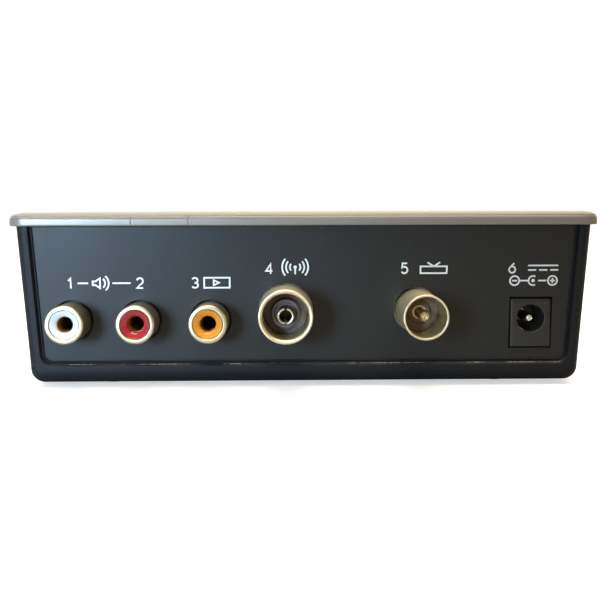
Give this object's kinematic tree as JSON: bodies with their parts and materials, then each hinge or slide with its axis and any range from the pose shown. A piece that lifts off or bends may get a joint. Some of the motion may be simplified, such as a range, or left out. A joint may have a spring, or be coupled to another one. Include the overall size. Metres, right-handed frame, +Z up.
{
  "type": "rf modulator",
  "caption": "Small RF modulator box with audio, video, aerial, TV and DC power sockets on its rear and push buttons and a display window on its front.",
  "frame": {"origin": "Under the middle of the whole object, sockets included, in the plane where the rubber feet stand.", "axes": "+X to the right when the rear sockets are faced, +Y from the sockets to the front buttons, +Z up."},
  "size_m": [0.1288, 0.0962, 0.039],
  "materials": {
    "tub": "fine spark-eroded texture, dark slate",
    "cover": "silver-grey satin lacquer",
    "panel": "fine satin, near black with white print",
    "window": "smoked red, polished",
    "rubber": "matt",
    "screw": "zinc plated",
    "board": "green solder mask",
    "black_plastic": "moulded black",
    "nickel": "warm nickel plating",
    "white_liner": "moulded",
    "red_liner": "moulded",
    "yellow_liner": "moulded",
    "contact": "plated contact",
    "tinplate": "tinned sheet",
    "insulator": "grey-brown moulded",
    "copper": "enamelled wire",
    "heatsink_black": "black anodised",
    "capacitor_sleeve": "shrink sleeve",
    "resistor_body": "lacquered",
    "display_face": "seven-segment module",
    "light_lens": "tinted lens",
    "button": "satin grey"
  },
  "bodies": {
    "case": {"base_tub": "tub", "top_cover": "cover", "rear_panel": "panel", "front_panel": "panel", "display_window": "window", "rubber_feet": "rubber", "case_screws": "screw", "board_screws": "screw", "main_board": "board", "phono_bodies": "black_plastic", "audio_left_shell": "nickel", "audio_right_shell": "nickel", "video_shell": "nickel", "audio_left_insert": "white_liner", "audio_right_insert": "red_liner", "video_insert": "yellow_liner", "phono_contacts": "contact", "tuner_can": "tinplate", "tuner_can_cover": "tinplate", "tuner_board": "board", "tuner_chip": "black_plastic", "tuner_coils": "copper", "aerial_shell": "nickel", "aerial_insulator": "insulator", "aerial_contact": "contact", "tv_shell": "nickel", "tv_insulator": "insulator", "tv_pin": "contact", "power_jack": "black_plastic", "power_pin": "nickel", "power_spring": "nickel", "heatsink": "heatsink_black", "voltage_regulator": "black_plastic", "regulator_screw": "screw", "filter_capacitors": "capacitor_sleeve", "small_capacitors": "capacitor_sleeve", "control_chip": "black_plastic", "audio_chip": "black_plastic", "crystal": "tinplate", "resistors": "resistor_body", "front_board": "board", "board_header": "black_plastic", "header_pins": "contact", "channel_display": "display_face", "power_light": "light_lens", "light_spacer": "black_plastic", "button_switches": "black_plastic"},
    "up_button": {"button_up": "button", "plunger_up": "white_liner"},
    "down_button": {"button_down": "button", "plunger_down": "white_liner"}
  },
  "joints": [
    {"name": "up_button_press", "type": "slide", "parent": "case", "child": "up_button", "axis": [0, -1, 0], "range_m": [0, 0.0005], "stiffness_N_per_m": 3000},
    {"name": "down_button_press", "type": "slide", "parent": "case", "child": "down_button", "axis": [0, -1, 0], "range_m": [0, 0.0005], "stiffness_N_per_m": 3000}
  ]
}
